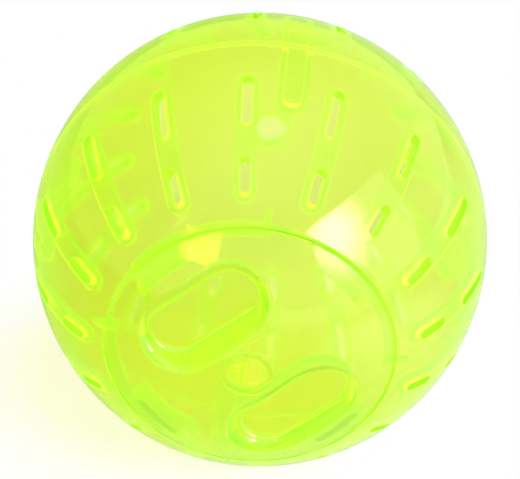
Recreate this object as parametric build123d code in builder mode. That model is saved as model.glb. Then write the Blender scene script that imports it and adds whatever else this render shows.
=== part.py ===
import os
from math import cos, radians, sin, sqrt

from build123d import *

os.makedirs("parts", exist_ok=True)

# A hamster ball: two clear moulded halves that plug together at the equator, and a lid that
# twists into the front half. The origin is the ball's centre. The axis that the halves, the lid
# and both hub holes share runs along Y, with the lid at the front (-Y), and +Z is up.
# Angles from the lid's pole are 0 at the lid's hub, 90 at the equator and 180 at the rear hub.
# Clock angles go round the axis as seen from the front: 0 is up, and 90 is towards +X.
ball_diameter = 120.0
wall = 1.8
overrun = 2.0

# The halves meet at the equator, where a thin lip of the rear half plugs into the front half.
parting_gap = 0.2
lip_length = 1.5
lip_clearance = 0.15

# Four tongues of the rear half run inside the front half's wall, each between the two sides of
# a U-shaped guide rib. The rear half has the same rib round each tongue's root.
latch_count = 4
latch_clock_angle = 11.25
guide_end_angle = 67.5
guide_width = 1.4
guide_height = 2.2
tongue_width = 4.4
tongue_thickness = 1.6
tongue_clearance = 0.2
tongue_tip_angle = 70.0
tongue_root_angle = 104.0

# Air slots: sixteen on each half. Each is a pair of openings in line, in a pad on the inside of
# the wall that borders both and bridges them.
slot_count = 16
slot_width = 2.7
slot_border = 1.4
slot_pad_height = 1.2
slot_near_angles = (44.6, 53.2)
slot_far_angles = (61.6, 75.4)

# Hub holes on the axis, one through the lid and one through the rear half.
hub_hole_diameter = 9.4
hub_hole_length = 3.2
hub_wall = 1.6

# The lid drops into a round opening of the front half and lies flush with it.
lid_edge_angle = 36.5
lid_edge_clearance = 0.3
lid_edge_thickness = 1.3
lid_edge_round = 0.4

# Four ledges stand in from the opening. The lid's edge seats on them, and its four lugs pass
# between them and turn under them, as far as a stop at the end of each ledge.
lug_count = 4
ledge_thickness = 1.6
ledge_width = 3.2
ledge_seat_clearance = 0.1
ledge_first_clock_angle = -50.0
ledge_last_clock_angle = 10.0
stop_arc_angle = 2.5
stop_height = 2.2
lug_clock_angle = -41.0
lug_arc_angle = 27.0
lug_foot_width = 2.3
lug_reach = 2.4
lug_thickness = 1.8
lug_clearance = 0.25

# Two finger wells in the lid leave a bar between them to grip.
well_clock_angle = -37.0
grip_bar_width = 21.0
well_length = 31.0
well_margin = 5.6
well_depth = 9.0
well_wall = 1.6
well_draft_angle = 12.0
well_rim_round = 2.6
well_floor_round = 1.6

ball_radius = ball_diameter / 2
inner_radius = ball_radius - wall
mid_radius = ball_radius - wall / 2
lip_radius = mid_radius - lip_clearance / 2
rib_root_radius = (inner_radius + lip_radius) / 2

front_view = Plane(origin=(0, 0, 0), x_dir=(1, 0, 0), z_dir=(0, -1, 0))
front_profile = Plane(origin=(0, 0, 0), x_dir=(1, 0, 0), z_dir=(0, 0, -1))
rear_profile = Plane.XY


def height_on(sphere_radius, distance):
    """Height along the axis of a sphere's surface, at a distance from the axis."""
    return sqrt(sphere_radius**2 - distance**2)


def clock_angles(first, count):
    """Equally spaced clock angles, starting from the first."""
    return [first + 360 * step / count for step in range(count)]


def closed_edges(piece):
    """A piece's edges that close on themselves, such as the rims of round faces."""
    return piece.edges().filter_by(lambda edge: edge.is_closed)


def ring_sector(inner, outer, first_clock_angle, last_clock_angle):
    """Part of a flat ring between two clock angles, as seen from the front."""
    arc_angle = last_clock_angle - first_clock_angle
    with BuildSketch() as sector:
        with BuildLine():
            near_arc = CenterArc((0, 0), inner, 90 - last_clock_angle, arc_angle)
            far_arc = CenterArc((0, 0), outer, 90 - last_clock_angle, arc_angle)
            Line(near_arc @ 0, far_arc @ 0)
            Line(near_arc @ 1, far_arc @ 1)
        make_face()
    return sector.sketch


# Air slot, made once at clock angle 0 on the front half and then repeated round both halves.
slot_pad_width = slot_width + 2 * slot_border
slot_middle_angle = (slot_near_angles[0] + slot_far_angles[1]) / 2
slot_half_angle = (slot_far_angles[1] - slot_near_angles[0]) / 2
slot_length = 2 * ball_radius * sin(radians(slot_half_angle))
slot_pad_length = slot_length + 2 * slot_border
slot_base_height = (inner_radius - slot_pad_height) * cos(radians(slot_half_angle)) - overrun
slot_rise = ball_radius + overrun - slot_base_height
slot_outward = Vector(0, -cos(radians(slot_middle_angle)), sin(radians(slot_middle_angle)))
slot_along = Vector(0, sin(radians(slot_middle_angle)), cos(radians(slot_middle_angle)))
slot_plane = Plane(origin=slot_outward * slot_base_height, x_dir=slot_along, z_dir=slot_outward)


def slot_place(pole_angle):
    """Place along the slot, from its middle, of an angle from the lid's pole."""
    return ball_radius * sin(radians(pole_angle - slot_middle_angle))


with BuildPart() as slot_pad:
    with BuildSketch(slot_plane):
        SlotOverall(slot_pad_length, slot_pad_width)
    extrude(amount=slot_rise)
    Sphere(mid_radius, mode=Mode.INTERSECT)
    Sphere(inner_radius - slot_pad_height, mode=Mode.SUBTRACT)

with BuildPart() as slot_opening:
    with BuildSketch(slot_plane):
        for first_angle, last_angle in (slot_near_angles, slot_far_angles):
            with Locations(((slot_place(first_angle) + slot_place(last_angle)) / 2, 0)):
                SlotOverall(slot_place(last_angle) - slot_place(first_angle), slot_width)
    extrude(amount=slot_rise)

with BuildPart() as slot_pads:
    for angle in clock_angles(0, slot_count):
        add(slot_pad.part, rotation=(0, angle, 0))

with BuildPart() as slot_openings:
    for angle in clock_angles(0, slot_count):
        add(slot_opening.part, rotation=(0, angle, 0))

# Guide ribs and tongues, made for all four latches at once.
latch_clock_angles = clock_angles(latch_clock_angle, latch_count)
guide_inner_width = tongue_width + 2 * tongue_clearance
guide_outer_width = guide_inner_width + 2 * guide_width
guide_length = 2 * inner_radius * sin(radians(90 - guide_end_angle))
guide_inner_length = guide_length - 2 * guide_width
guide_start = lip_length + lip_clearance
tongue_outer_radius = inner_radius - tongue_clearance
tongue_inner_radius = tongue_outer_radius - tongue_thickness
tongue_tip = inner_radius * sin(radians(90 - tongue_tip_angle))
tongue_root = inner_radius * sin(radians(tongue_root_angle - 90))


def latch_plane(clock_angle):
    """Plane across a latch, with its X axis along the ball's axis towards the rear."""
    outward = Vector(sin(radians(clock_angle)), 0, cos(radians(clock_angle)))
    return Plane(origin=outward * (ball_radius / 2), x_dir=(0, 1, 0), z_dir=outward)


with BuildPart() as guides:
    for angle in latch_clock_angles:
        with BuildSketch(latch_plane(angle)):
            SlotOverall(guide_length, guide_outer_width)
            SlotOverall(guide_inner_length, guide_inner_width, mode=Mode.SUBTRACT)
        extrude(amount=ball_radius)
    Sphere(rib_root_radius, mode=Mode.INTERSECT)
    Sphere(inner_radius - guide_height, mode=Mode.SUBTRACT)

# Each tongue is one with the rear half's wall and lip as far as the lip's edge. From there on it
# runs free, just inside the front half's wall.
with BuildPart() as tongues:
    for angle in latch_clock_angles:
        with BuildSketch(latch_plane(angle)):
            with Locations(((tongue_root - tongue_tip) / 2, 0)):
                SlotOverall(tongue_root + tongue_tip, tongue_width)
        extrude(amount=ball_radius)
    Sphere(rib_root_radius, mode=Mode.INTERSECT)
    Sphere(tongue_inner_radius, mode=Mode.SUBTRACT)
    with BuildSketch(front_profile):
        Circle(ball_radius)
        Circle(tongue_outer_radius, mode=Mode.SUBTRACT)
        with Locations((0, lip_length)):
            Rectangle(ball_radius, ball_radius, align=(Align.MIN, Align.MIN), mode=Mode.INTERSECT)
    revolve(axis=Axis.Y, mode=Mode.SUBTRACT)

# Lid opening and its ledges.
opening_radius = ball_radius * sin(radians(lid_edge_angle))
lid_radius = opening_radius - lid_edge_clearance
lid_seat_height = height_on(ball_radius, lid_radius) - lid_edge_thickness
ledge_top = lid_seat_height - ledge_seat_clearance
ledge_bottom = ledge_top - ledge_thickness
ledge_inner_radius = opening_radius - ledge_width
ledge_arc_angle = ledge_last_clock_angle - ledge_first_clock_angle

with BuildPart() as ledges:
    with BuildSketch(front_view.offset(ledge_bottom)):
        for angle in clock_angles(ledge_first_clock_angle, lug_count):
            add(ring_sector(ledge_inner_radius, ball_radius, angle, angle + ledge_arc_angle))
    extrude(amount=ledge_thickness)
    with BuildSketch(front_view.offset(ledge_bottom - stop_height)):
        for angle in clock_angles(ledge_last_clock_angle, lug_count):
            add(ring_sector(ledge_inner_radius, ball_radius, angle - stop_arc_angle, angle))
    extrude(amount=stop_height)
    Sphere(mid_radius, mode=Mode.INTERSECT)

# Front half: slots, guide ribs, and the lid's opening with its ledges.
with BuildPart() as front_shell:
    with BuildSketch(front_profile):
        Circle(ball_radius)
        Circle(inner_radius, mode=Mode.SUBTRACT)
        with Locations((opening_radius, parting_gap / 2)):
            Rectangle(ball_diameter, ball_diameter, align=(Align.MIN, Align.MIN), mode=Mode.INTERSECT)
        Rectangle(
            lip_radius + lip_clearance,
            lip_length + lip_clearance,
            align=(Align.MIN, Align.MIN),
            mode=Mode.SUBTRACT,
        )
    revolve(axis=Axis.Y)
    fillet(closed_edges(front_shell).sort_by(Axis.Y)[0], lid_edge_round)
    add(ledges.part)
    front_guides = split(guides.part, bisect_by=Plane.XZ.offset(guide_start), mode=Mode.PRIVATE)
    add(front_guides)
    add(slot_pads.part)
    add(slot_openings.part, mode=Mode.SUBTRACT)

front_shell.part.label = "front_shell"
export_step(front_shell.part, "parts/front_shell.step")

# Rear half: slots, hub, lip, guide ribs and tongues.
hub_hole_radius = hub_hole_diameter / 2
hub_radius = hub_hole_radius + hub_wall
hub_base_height = height_on(ball_radius, hub_hole_radius) - hub_hole_length
hub_boss_height = height_on(mid_radius, hub_radius) - hub_base_height
with BuildPart() as rear_shell:
    with BuildSketch(rear_profile):
        Circle(ball_radius)
        Circle(inner_radius, mode=Mode.SUBTRACT)
        with Locations((hub_hole_radius, 0)):
            Rectangle(ball_diameter, ball_diameter, align=(Align.MIN, Align.MIN), mode=Mode.INTERSECT)
        with Locations((hub_hole_radius, hub_base_height)):
            Rectangle(hub_wall, hub_boss_height, align=(Align.MIN, Align.MIN))
        with Locations((inner_radius, 0)):
            Rectangle(lip_radius - inner_radius, lip_length, align=(Align.MIN, Align.MAX))
        with Locations((lip_radius, 0)):
            Rectangle(wall, parting_gap / 2, align=(Align.MIN, Align.MIN), mode=Mode.SUBTRACT)
    revolve(axis=Axis.Y)
    lip_end = Plane.XZ.offset(lip_length)
    rear_guides = split(guides.part, bisect_by=lip_end, keep=Keep.BOTTOM, mode=Mode.PRIVATE)
    add(rear_guides)
    add(tongues.part)
    add(mirror(slot_pads.part, about=Plane.XZ, mode=Mode.PRIVATE))
    add(mirror(slot_openings.part, about=Plane.XZ, mode=Mode.PRIVATE), mode=Mode.SUBTRACT)

rear_shell.part.label = "rear_shell"
export_step(rear_shell.part, "parts/rear_shell.step")

# Lid lugs: a foot down from the lid, and a flange that reaches out under the ledge.
lug_foot_radius = ledge_inner_radius - lug_clearance
lug_inner_radius = lug_foot_radius - lug_foot_width
lug_top = ledge_bottom - lug_clearance
lug_bottom = lug_top - lug_thickness
lug_first_clock_angle = lug_clock_angle - lug_arc_angle / 2
with BuildPart() as lugs:
    with BuildSketch(front_view.offset(lug_bottom)):
        for angle in clock_angles(lug_first_clock_angle, lug_count):
            add(ring_sector(lug_inner_radius, lug_foot_radius, angle, angle + lug_arc_angle))
    extrude(amount=ball_radius - lug_bottom)
    with BuildSketch(front_view.offset(lug_bottom)):
        for angle in clock_angles(lug_first_clock_angle, lug_count):
            add(ring_sector(lug_inner_radius, lug_foot_radius + lug_reach, angle, angle + lug_arc_angle))
    extrude(amount=lug_thickness)
    Sphere(mid_radius, mode=Mode.INTERSECT)

# Finger wells: the hollow of each is cut into the lid's outside, and a larger body of the same
# shape is left standing inside, so that a wall runs all round and below the hollow.
well_floor_height = ball_radius - well_depth
well_width = lug_inner_radius - well_margin - grip_bar_width / 2
well_distance = (grip_bar_width + well_width) / 2
well_places = [
    Location((well_distance * sin(radians(angle)), well_distance * cos(radians(angle))), -angle)
    for angle in clock_angles(well_clock_angle, 2)
]

with BuildPart() as lid_hollow:
    with BuildSketch(front_profile):
        Circle(inner_radius)
        with Locations((0, lid_seat_height - overrun)):
            Rectangle(ball_radius, ball_radius, align=(Align.MIN, Align.MIN), mode=Mode.INTERSECT)
    revolve(axis=Axis.Y)
    with BuildSketch(front_view.offset(well_floor_height - well_wall)):
        with Locations(*well_places):
            SlotOverall(well_length + 2 * well_wall, well_width + 2 * well_wall)
    extrude(amount=well_depth + well_wall, taper=-well_draft_angle, mode=Mode.SUBTRACT)

with BuildPart() as lid:
    with BuildSketch(front_profile):
        Circle(ball_radius)
        with Locations((0, lid_seat_height)):
            Rectangle(lid_radius, ball_radius, align=(Align.MIN, Align.MIN), mode=Mode.INTERSECT)
    revolve(axis=Axis.Y)
    fillet(closed_edges(lid).sort_by(Axis.Y)[0], lid_edge_round)
    with BuildSketch(front_view.offset(well_floor_height)):
        with Locations(*well_places):
            SlotOverall(well_length, well_width)
    extrude(amount=well_depth + overrun, taper=-well_draft_angle, mode=Mode.SUBTRACT)
    fillet(lid.faces().filter_by(Axis.Y).group_by(Axis.Y)[0].edges(), well_floor_round)
    dome = lid.faces().filter_by(GeomType.SPHERE).sort_by(SortBy.AREA)[-1]
    fillet([edge for rim in dome.inner_wires() for edge in rim.edges()], well_rim_round)
    add(lid_hollow.part, mode=Mode.SUBTRACT)
    add(lugs.part)
    with BuildSketch(front_profile):
        with Locations((0, hub_base_height)):
            Rectangle(hub_radius, hub_boss_height, align=(Align.MIN, Align.MIN))
    revolve(axis=Axis.Y)
    with BuildSketch(front_view.offset(hub_base_height - overrun)):
        Circle(hub_hole_radius)
    extrude(amount=hub_hole_length + 2 * overrun, mode=Mode.SUBTRACT)

lid.part.label = "lid"
export_step(lid.part, "parts/lid.step")
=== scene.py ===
from math import cos, radians, sin

import bmesh
import bpy
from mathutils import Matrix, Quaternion, Vector


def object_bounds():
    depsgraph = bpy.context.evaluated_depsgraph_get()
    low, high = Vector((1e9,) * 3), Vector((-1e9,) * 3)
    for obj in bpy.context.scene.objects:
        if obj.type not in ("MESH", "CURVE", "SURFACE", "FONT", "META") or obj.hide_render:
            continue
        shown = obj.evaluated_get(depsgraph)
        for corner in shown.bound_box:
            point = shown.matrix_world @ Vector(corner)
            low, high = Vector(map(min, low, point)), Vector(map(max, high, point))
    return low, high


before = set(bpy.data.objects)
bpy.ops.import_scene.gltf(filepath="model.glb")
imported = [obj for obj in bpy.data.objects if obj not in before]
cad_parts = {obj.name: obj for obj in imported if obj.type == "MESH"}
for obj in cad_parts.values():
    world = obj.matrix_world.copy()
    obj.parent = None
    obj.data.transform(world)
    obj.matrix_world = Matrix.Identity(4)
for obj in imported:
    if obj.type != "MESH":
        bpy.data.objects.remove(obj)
cad_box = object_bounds()
scene = bpy.context.scene
scene.view_settings.view_transform = "Standard"

# Rear half: a hemisphere of clear polystyrene with a fluorescent yellow-green dye, injection
# moulded in one with its hub, air slots, lip and tongues. The front half plugs onto its lip, and
# its tongues run in the front half's guide ribs.
MM = 0.001
INNER_RADIUS = 58.2 * MM
PLASTIC_COLOUR = "#D8C9AB"
DYE_COLOUR = "#F1F81F"
DYE_DENSITY = 300.0
LAMP_LIGHT_TINT = "#FFFDF2"
POLYSTYRENE_IOR = 1.59
POLISH_ROUGHNESS = 0.07
SHEEN_TINT = "#F6FFD0"
RIPPLE_SIZE = 14 * MM
RIPPLE_HEIGHT = 0.05 * MM
# Painted light: the plastic is given an emitted glow, most on faces across the wall and on ribs,
# where its colour is also painted a deeper green.
PAINTED_EDGE_COLOUR = "#668F3C"
PAINTED_GLOW_COLOUR = "#BCFF30"
PAINTED_FACE_GLOW, PAINTED_EDGE_GLOW = 0.2, 0.55
ACROSS_WALL, ALONG_WALL = 0.3, 0.95
SHELL_EDGE_SHARE = 1.0
RIB_EDGE_SHARE = 0.6
RIB_FOOT, RIB_TOP = 0.2 * MM, 0.8 * MM


def linear(hex_colour):
    """An sRGB hex colour as a linear RGBA colour."""
    parts = [int(hex_colour[i : i + 2], 16) / 255 for i in (1, 3, 5)]
    return [c / 12.92 if c <= 0.04045 else ((c + 0.055) / 1.055) ** 2.4 for c in parts] + [1.0]


def add_node(tree, kind, settings=None, links=None):
    """A new node, with attributes or input values set and inputs linked from other sockets."""
    node = tree.nodes.new(kind)
    for name, value in (settings or {}).items():
        if hasattr(node, str(name)):
            setattr(node, name, value)
        else:
            node.inputs[name].default_value = value
    for name, socket in (links or {}).items():
        tree.links.new(socket, node.inputs[name])
    return node


def clear_polystyrene(name, dye_and_shade_colour, edge_share, height_measure, wall_height):
    """Clear polystyrene, dyed in the mass and moulded against polished steel. To the eye it is a
    glassy yellow-green with soft-edged reflections and a faint ripple, deeper where it is thick.
    The dye's glow is painted in as emission, standing in for its fluorescence and for the light
    that the wall pipes to its edges, so slot walls and other faces across the wall are the
    brightest, with a painted deeper tint. Ribs, pads and lugs, which stand in from wall_height by
    the measure given, come next."""
    material = bpy.data.materials.new(name)
    material.use_nodes = True
    tree = material.node_tree
    tree.nodes.clear()
    place = add_node(tree, "ShaderNodeTexCoord")
    ripple = add_node(
        tree,
        "ShaderNodeTexNoise",
        {"Scale": 1 / RIPPLE_SIZE, "Detail": 1.0},
        {"Vector": place.outputs["Object"]},
    )
    bump = add_node(
        tree,
        "ShaderNodeBump",
        {"Strength": 1.0, "Distance": RIPPLE_HEIGHT},
        {"Height": ripple.outputs["Fac"]},
    )
    outward = add_node(
        tree, "ShaderNodeVectorMath", {"operation": "NORMALIZE"}, {0: place.outputs["Object"]}
    )
    facing = add_node(
        tree,
        "ShaderNodeVectorMath",
        {"operation": "DOT_PRODUCT"},
        {0: place.outputs["Normal"], 1: outward.outputs["Vector"]},
    )
    facing = add_node(
        tree, "ShaderNodeMath", {"operation": "ABSOLUTE"}, {0: facing.outputs["Value"]}
    )
    edge = add_node(
        tree,
        "ShaderNodeMapRange",
        {"From Min": ACROSS_WALL, "From Max": ALONG_WALL, "To Min": edge_share, "To Max": 0.0},
        {"Value": facing.outputs[0]},
    )
    height = add_node(tree, "ShaderNodeVectorMath", height_measure, {0: place.outputs["Object"]})
    rib = add_node(
        tree,
        "ShaderNodeMapRange",
        {
            "From Min": wall_height - RIB_TOP,
            "From Max": wall_height - RIB_FOOT,
            "To Min": RIB_EDGE_SHARE,
            "To Max": 0.0,
        },
        {"Value": height.outputs["Value"]},
    )
    edge = add_node(
        tree, "ShaderNodeMath", {"operation": "MAXIMUM"}, {0: edge.outputs[0], 1: rib.outputs[0]}
    )
    # Painted deeper tint on edges and ribs, to go with the painted glow.
    tint = add_node(
        tree,
        "ShaderNodeMix",
        {"data_type": "RGBA", 6: linear(PLASTIC_COLOUR), 7: linear(PAINTED_EDGE_COLOUR)},
        {0: edge.outputs[0]},
    )
    # Painted glow: emission that is weakest on open faces and strongest on edges and ribs.
    painted_glow = add_node(
        tree,
        "ShaderNodeMapRange",
        {"To Min": PAINTED_FACE_GLOW, "To Max": PAINTED_EDGE_GLOW},
        {"Value": edge.outputs[0]},
    )
    plastic = add_node(
        tree,
        "ShaderNodeBsdfPrincipled",
        {
            "Roughness": POLISH_ROUGHNESS,
            "IOR": POLYSTYRENE_IOR,
            "Transmission Weight": 1.0,
            "Specular Tint": linear(SHEEN_TINT),
            "Emission Color": linear(PAINTED_GLOW_COLOUR),
        },
        {
            "Base Color": tint.outputs[2],
            "Normal": bump.outputs["Normal"],
            "Emission Strength": painted_glow.outputs[0],
        },
    )
    # Light on its way to the floor goes straight through, so that the shadow is a tinted glow.
    light_way = add_node(tree, "ShaderNodeBsdfTransparent", {"Color": linear(LAMP_LIGHT_TINT)})
    path = add_node(tree, "ShaderNodeLightPath")
    lamp_light = add_node(
        tree,
        "ShaderNodeMath",
        {"operation": "MAXIMUM"},
        {0: path.outputs["Is Shadow Ray"], 1: path.outputs["Is Diffuse Ray"]},
    )
    surface = add_node(
        tree,
        "ShaderNodeMixShader",
        {},
        {0: lamp_light.outputs[0], 1: plastic.outputs[0], 2: light_way.outputs[0]},
    )
    # The dye's absorption colour; on the lid it also carries painted shade.
    dye_and_shade = add_node(
        tree, "ShaderNodeVolumeAbsorption", {"Color": linear(dye_and_shade_colour), "Density": DYE_DENSITY}
    )
    add_node(
        tree,
        "ShaderNodeOutputMaterial",
        {},
        {"Surface": surface.outputs[0], "Volume": dye_and_shade.outputs[0]},
    )
    return material


def dress(node, material):
    """Gives a moulded piece its finish."""
    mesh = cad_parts[node].data
    mesh.materials.clear()
    mesh.materials.append(material)


from_centre = {"operation": "LENGTH"}
shell_plastic = clear_polystyrene(
    "moulded_shell_polystyrene", DYE_COLOUR, SHELL_EDGE_SHARE, from_centre, INNER_RADIUS
)
dress("rear_shell", shell_plastic)

# Front half: the same moulding with a round opening for the lid in place of the hub. Ledges inside
# the opening carry the lid, and guide ribs at the equator take the rear half's tongues.
dress("front_shell", shell_plastic)

# Lid: a dished disc of the same polystyrene that lies flush in the front half's opening, moulded
# with two finger wells and a hub hole. Four lugs below its edge turn under the ledges and hold it.
# Its dye colour has less red than the shell's: painted shade, standing in for the shaded paper
# under the ball seen through the lid.
LID_SEAT_HEIGHT = 47.0 * MM
LID_DYE_AND_SHADE_COLOUR = "#E8F81F"
LID_EDGE_SHARE = 0.42

along_axis = {"operation": "DOT_PRODUCT", 1: (0.0, -1.0, 0.0)}
lid_plastic = clear_polystyrene(
    "moulded_lid_polystyrene", LID_DYE_AND_SHADE_COLOUR, LID_EDGE_SHARE, along_axis, LID_SEAT_HEIGHT
)
dress("lid", lid_plastic)

# Floor: a wide sheet of matt white paper that the ball lies on. It is shown partly as a plain white
# page, so that it stays white, and least so beside the ball, where the ball's tinted shadow falls.
# Places and reaches on it are in ball radii.
FLOOR_SIZE = 6.0
PAPER_COLOUR = "#FFFFFF"
SHADOW_PLACE = (-0.45, 0.4)
SHADOW_REACH = (0.65, 1.15)
SHADOW_PAGE_SHARE = 0.45
ball_radius = (cad_box[1][2] - cad_box[0][2]) / 2
floor_z = cad_box[0][2]


def on_floor(place):
    """A place on the floor, given in ball radii from the ball's foot."""
    return (place[0] * ball_radius, place[1] * ball_radius, floor_z)


floor_mesh = bpy.data.meshes.new("floor")
sheet = bmesh.new()
bmesh.ops.create_grid(sheet, x_segments=1, y_segments=1, size=FLOOR_SIZE / 2)
bmesh.ops.translate(sheet, vec=on_floor((0, 0)), verts=sheet.verts)
sheet.to_mesh(floor_mesh)
sheet.free()
floor = bpy.data.objects.new("floor", floor_mesh)
scene.collection.objects.link(floor)

# The paper gives the eye a shadowless white, with the ball's yellow-green glow beside it.
paper = bpy.data.materials.new("matt_white_paper")
paper.use_nodes = True
tree = paper.node_tree
tree.nodes.clear()
path = add_node(tree, "ShaderNodeLightPath")
place = add_node(tree, "ShaderNodeTexCoord")
from_shadow = add_node(
    tree,
    "ShaderNodeVectorMath",
    {"operation": "DISTANCE", 1: on_floor(SHADOW_PLACE)},
    {0: place.outputs["Object"]},
)
seen_share = add_node(
    tree,
    "ShaderNodeMapRange",
    {
        "From Min": SHADOW_REACH[0] * ball_radius,
        "From Max": SHADOW_REACH[1] * ball_radius,
        "To Min": SHADOW_PAGE_SHARE,
        "To Max": 1.0,
    },
    {"Value": from_shadow.outputs["Value"]},
)

# Through the ball, the paper is painted a yellow-green tint, with a painted pool of light at the
# ball's foot in place of the light that the ball gathers, painted shade in a ring round the pool,
# and the open paper behind it.
THROUGH_BALL_PAGE_SHARE = 0.22
PAINTED_POOL_STRENGTH = 1.5
THROUGH_BALL_PAINTED_TINT = "#E8FF80"
PAINTED_POOL_REACH = (1.1, 1.8)
OPEN_PAPER_REACH = (2.0, 3.4)

from_ball = add_node(
    tree, "ShaderNodeVectorMath", {"operation": "LENGTH"}, {0: place.outputs["Object"]}
)
painted_pool = add_node(
    tree,
    "ShaderNodeMapRange",
    {
        "From Min": PAINTED_POOL_REACH[0] * ball_radius,
        "From Max": PAINTED_POOL_REACH[1] * ball_radius,
        "To Min": PAINTED_POOL_STRENGTH,
        "To Max": 0.0,
    },
    {"Value": from_ball.outputs["Value"]},
)
open_paper = add_node(
    tree,
    "ShaderNodeMapRange",
    {"From Min": OPEN_PAPER_REACH[0] * ball_radius, "From Max": OPEN_PAPER_REACH[1] * ball_radius},
    {"Value": from_ball.outputs["Value"]},
)
through_ball = add_node(
    tree,
    "ShaderNodeMath",
    {"operation": "MAXIMUM"},
    {0: painted_pool.outputs[0], 1: open_paper.outputs[0]},
)

# Mirrored in the ball, the paper has a painted reflection: it is painted greenish on the left and
# brightens towards the key lamp, most of all in a painted bright patch in front of it.
TOWARDS_KEY = (0.7, -0.7, 0.0)
MIRRORED_PAGE_SHARE = 0.85
MIRRORED_PAGE_NEAR, MIRRORED_PAGE_FAR = 0.45, 2.4
MIRRORED_PAGE_REACH = (0.0, 9.0)
PAINTED_PATCH_STRENGTH = 1.7
PAINTED_PATCH_PLACE = (2.8, -2.0)
PAINTED_PATCH_REACH = (0.5, 2.2)
PAINTED_LEFT_REFLECTION_COLOUR = "#D6FA9C"
LEFT_PAGE_REACH = (-2.0, 0.5)


def painted_green_reflection_on_left(tree, path, sideways, reach):
    """White, and where the ball mirrors it, a painted greenish reflection from the second to the
    first of reach.
    """
    left = add_node(
        tree,
        "ShaderNodeMapRange",
        {"From Min": reach[0], "From Max": reach[1], "To Min": 1.0, "To Max": 0.0},
        {"Value": sideways},
    )
    left = add_node(
        tree,
        "ShaderNodeMath",
        {"operation": "MULTIPLY"},
        {0: left.outputs[0], 1: path.outputs["Is Glossy Ray"]},
    )
    return add_node(
        tree,
        "ShaderNodeMix",
        {"data_type": "RGBA", 6: linear(PAPER_COLOUR), 7: linear(PAINTED_LEFT_REFLECTION_COLOUR)},
        {0: left.outputs[0]},
    )


towards_key = add_node(
    tree,
    "ShaderNodeVectorMath",
    {"operation": "DOT_PRODUCT", 1: TOWARDS_KEY},
    {0: place.outputs["Object"]},
)
mirrored = add_node(
    tree,
    "ShaderNodeMapRange",
    {
        "From Min": MIRRORED_PAGE_REACH[0] * ball_radius,
        "From Max": MIRRORED_PAGE_REACH[1] * ball_radius,
        "To Min": MIRRORED_PAGE_NEAR,
        "To Max": MIRRORED_PAGE_FAR,
    },
    {"Value": towards_key.outputs["Value"]},
)
# Painted bright patch in the paper's reflection, in front of the key lamp.
from_painted_patch = add_node(
    tree,
    "ShaderNodeVectorMath",
    {"operation": "DISTANCE", 1: on_floor(PAINTED_PATCH_PLACE)},
    {0: place.outputs["Object"]},
)
painted_patch = add_node(
    tree,
    "ShaderNodeMapRange",
    {
        "From Min": PAINTED_PATCH_REACH[0] * ball_radius,
        "From Max": PAINTED_PATCH_REACH[1] * ball_radius,
        "To Min": PAINTED_PATCH_STRENGTH,
        "To Max": 0.0,
    },
    {"Value": from_painted_patch.outputs["Value"]},
)
mirrored = add_node(
    tree, "ShaderNodeMath", {"operation": "ADD"}, {0: mirrored.outputs[0], 1: painted_patch.outputs[0]}
)

share = add_node(
    tree,
    "ShaderNodeMath",
    {"operation": "MULTIPLY", 1: MIRRORED_PAGE_SHARE},
    {0: path.outputs["Is Glossy Ray"]},
)
share = add_node(
    tree,
    "ShaderNodeMix",
    {"data_type": "FLOAT", "B": THROUGH_BALL_PAGE_SHARE},
    {"Factor": path.outputs["Is Transmission Ray"], "A": share.outputs[0]},
)
share = add_node(
    tree,
    "ShaderNodeMix",
    {"data_type": "FLOAT"},
    {
        "Factor": path.outputs["Is Camera Ray"],
        "A": share.outputs["Result"],
        "B": seen_share.outputs[0],
    },
)
indirect = add_node(
    tree,
    "ShaderNodeMix",
    {"data_type": "FLOAT"},
    {
        "Factor": path.outputs["Is Transmission Ray"],
        "A": mirrored.outputs[0],
        "B": through_ball.outputs[0],
    },
)
page_strength = add_node(
    tree,
    "ShaderNodeMath",
    {"operation": "MAXIMUM"},
    {0: path.outputs["Is Camera Ray"], 1: indirect.outputs["Result"]},
)
sides = add_node(tree, "ShaderNodeSeparateXYZ", {}, {"Vector": place.outputs["Object"]})
# Painted greenish reflection of the paper on the left.
page_colour = painted_green_reflection_on_left(
    tree, path, sides.outputs["X"], [reach * ball_radius for reach in LEFT_PAGE_REACH]
)
# Seen through the ball, the paper's colour is painted yellow-green.
page_colour = add_node(
    tree,
    "ShaderNodeMix",
    {"data_type": "RGBA", 7: linear(THROUGH_BALL_PAINTED_TINT)},
    {0: path.outputs["Is Transmission Ray"], 6: page_colour.outputs[2]},
)
page = add_node(
    tree,
    "ShaderNodeEmission",
    {},
    {"Color": page_colour.outputs[2], "Strength": page_strength.outputs[0]},
)
matt = add_node(tree, "ShaderNodeBsdfDiffuse", {"Color": linear(PAPER_COLOUR)})
surface = add_node(
    tree,
    "ShaderNodeMixShader",
    {},
    {0: share.outputs["Result"], 1: matt.outputs[0], 2: page.outputs[0]},
)
add_node(tree, "ShaderNodeOutputMaterial", {}, {"Surface": surface.outputs[0]})
floor_mesh.materials.append(paper)

# Room: a pale studio round the ball. It is seen as plain white, directly and through the ball. Its
# mirror image in the ball is a painted reflection, brightest towards the key lamp and the ceiling,
# and painted greenish away from the key lamp.
ROOM_STRENGTH = 0.26
MIRRORED_LEFT_STRENGTH, MIRRORED_RIGHT_STRENGTH = 0.75, 1.9
MIRRORED_CEILING_STRENGTH = 0.8
CEILING_REACH = (0.6, 0.95)
LEFT_ROOM_REACH = (-0.8, 0.2)

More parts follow.
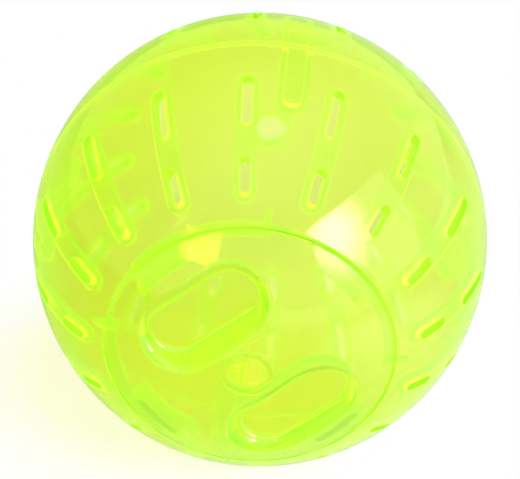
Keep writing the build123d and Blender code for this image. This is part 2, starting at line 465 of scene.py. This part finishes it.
world = bpy.data.worlds.new("room")
scene.world = world
world.use_nodes = True
tree = world.node_tree
tree.nodes.clear()
path = add_node(tree, "ShaderNodeLightPath")
seen = add_node(
    tree,
    "ShaderNodeMath",
    {"operation": "ADD", "use_clamp": True},
    {0: path.outputs["Is Camera Ray"], 1: path.outputs["Is Transmission Ray"]},
)
direction = add_node(tree, "ShaderNodeTexCoord")
sides = add_node(tree, "ShaderNodeSeparateXYZ", {}, {"Vector": direction.outputs["Generated"]})
towards_key = add_node(
    tree,
    "ShaderNodeVectorMath",
    {"operation": "DOT_PRODUCT", 1: TOWARDS_KEY},
    {0: direction.outputs["Generated"]},
)
mirrored = add_node(
    tree,
    "ShaderNodeMapRange",
    {
        "From Min": -1.0,
        "From Max": 1.0,
        "To Min": MIRRORED_LEFT_STRENGTH,
        "To Max": MIRRORED_RIGHT_STRENGTH,
    },
    {"Value": towards_key.outputs["Value"]},
)
ceiling = add_node(
    tree,
    "ShaderNodeMapRange",
    {
        "From Min": CEILING_REACH[0],
        "From Max": CEILING_REACH[1],
        "To Min": 0.0,
        "To Max": MIRRORED_CEILING_STRENGTH,
    },
    {"Value": sides.outputs["Z"]},
)
mirrored = add_node(
    tree, "ShaderNodeMath", {"operation": "ADD"}, {0: mirrored.outputs[0], 1: ceiling.outputs[0]}
)
room = add_node(
    tree,
    "ShaderNodeMix",
    {"data_type": "FLOAT", "A": ROOM_STRENGTH},
    {"Factor": path.outputs["Is Glossy Ray"], "B": mirrored.outputs[0]},
)
strength = add_node(
    tree,
    "ShaderNodeMix",
    {"data_type": "FLOAT", "B": 1.0},
    {"Factor": seen.outputs[0], "A": room.outputs["Result"]},
)
# Painted greenish reflection of the room away from the key lamp.
room_colour = painted_green_reflection_on_left(tree, path, towards_key.outputs["Value"], LEFT_ROOM_REACH)
room_colour = add_node(
    tree,
    "ShaderNodeMix",
    {"data_type": "RGBA", 7: linear("#FFFFFF")},
    {0: seen.outputs[0], 6: room_colour.outputs[2]},
)
sky = add_node(
    tree,
    "ShaderNodeBackground",
    {},
    {"Color": room_colour.outputs[2], "Strength": strength.outputs["Result"]},
)
add_node(tree, "ShaderNodeOutputWorld", {}, {"Surface": sky.outputs[0]})


# Key lamp: a large softbox to the right of the camera, with its bulb towards one corner of the
# cloth, so that its pane on the ball is brightest there and fades out across the cloth.
def softbox(name, azimuth, elevation, distance, width, height, power, colour="#FFFFFF"):
    """A rectangular lamp that faces the ball. Azimuth is from the front, positive towards +X."""
    a, e = radians(azimuth), radians(elevation)
    lamp = bpy.data.lights.new(name, "AREA")
    lamp.shape = "RECTANGLE"
    lamp.size, lamp.size_y = width, height
    lamp.energy = power
    lamp.color = linear(colour)[:3]
    box = bpy.data.objects.new(name, lamp)
    box.location = Vector((sin(a) * cos(e), -cos(a) * cos(e), sin(e))) * distance
    box.rotation_euler = (-box.location).to_track_quat("-Z", "Y").to_euler()
    box.visible_transmission = False
    scene.collection.objects.link(box)
    return box


KEY_BULB_PLACE = (0.26, 0.78, 0.0)
KEY_BULB_SPREAD = (0.4, 0.65)
KEY_BULB_STRENGTH = 18.5
KEY_CLOTH_STRENGTH = 1.2

key = softbox(
    "key_softbox", azimuth=61, elevation=17.5, distance=1.15, width=1.15, height=0.86, power=3.1
)
key.data.use_nodes = True
tree = key.data.node_tree
tree.nodes.clear()
cloth = add_node(tree, "ShaderNodeNewGeometry")
from_bulb = add_node(
    tree,
    "ShaderNodeVectorMath",
    {"operation": "SUBTRACT", 1: KEY_BULB_PLACE},
    {0: cloth.outputs["Parametric"]},
)
from_bulb = add_node(
    tree,
    "ShaderNodeVectorMath",
    {"operation": "MULTIPLY", 1: (1 / KEY_BULB_SPREAD[0], 1 / KEY_BULB_SPREAD[1], 0.0)},
    {0: from_bulb.outputs["Vector"]},
)
from_bulb = add_node(
    tree, "ShaderNodeVectorMath", {"operation": "LENGTH"}, {0: from_bulb.outputs["Vector"]}
)
brightness = add_node(
    tree,
    "ShaderNodeMapRange",
    {"interpolation_type": "SMOOTHSTEP", "To Min": KEY_BULB_STRENGTH, "To Max": KEY_CLOTH_STRENGTH},
    {"Value": from_bulb.outputs["Value"]},
)
lit_cloth = add_node(
    tree,
    "ShaderNodeEmission",
    {"Color": linear("#FFFFFF")},
    {"Strength": brightness.outputs[0]},
)
add_node(tree, "ShaderNodeOutputLight", {}, {"Surface": lit_cloth.outputs[0]})

# Other lamps: a small gold reflector to the left of the camera, which shows as a yellow pane, and
# two softboxes that light the floor and don't show in the ball.
softbox(
    "gold_reflector",
    azimuth=-28,
    elevation=28,
    distance=1.1,
    width=0.35,
    height=0.3,
    power=1.9,
    colour="#FFEE58",
)
side = softbox(
    "side_softbox", azimuth=92, elevation=52, distance=1.2, width=0.5, height=0.5, power=6.8
)
front = softbox(
    "front_softbox", azimuth=-15, elevation=40, distance=1.2, width=0.5, height=0.5, power=2.6
)
side.visible_glossy = False
front.visible_glossy = False

# Camera: a long lens that looks down at the ball from in front of the lid, aimed at the ball's
# centre and tilted a little.
PICTURE_WIDTH = 520
FOCAL_PIXELS = 2007.5
SENSOR_WIDTH = 36.0
CAMERA_ELEVATION = 33.91
CAMERA_AZIMUTH = 4.36
CAMERA_ROLL = -2.43
CAMERA_DISTANCE_IN_RADII = 8.9

lens = bpy.data.cameras.new("camera")
lens.sensor_fit = "HORIZONTAL"
lens.sensor_width = SENSOR_WIDTH
lens.lens = SENSOR_WIDTH * FOCAL_PIXELS / PICTURE_WIDTH
camera = bpy.data.objects.new("camera", lens)
a, e = radians(CAMERA_AZIMUTH), radians(CAMERA_ELEVATION)
towards_camera = Vector((sin(a) * cos(e), -cos(a) * cos(e), sin(e)))
camera.location = towards_camera * (CAMERA_DISTANCE_IN_RADII * ball_radius)
level = (-camera.location).to_track_quat("-Z", "Y")
camera.rotation_euler = (level @ Quaternion((0, 0, 1), radians(CAMERA_ROLL))).to_euler()
scene.collection.objects.link(camera)
scene.camera = camera
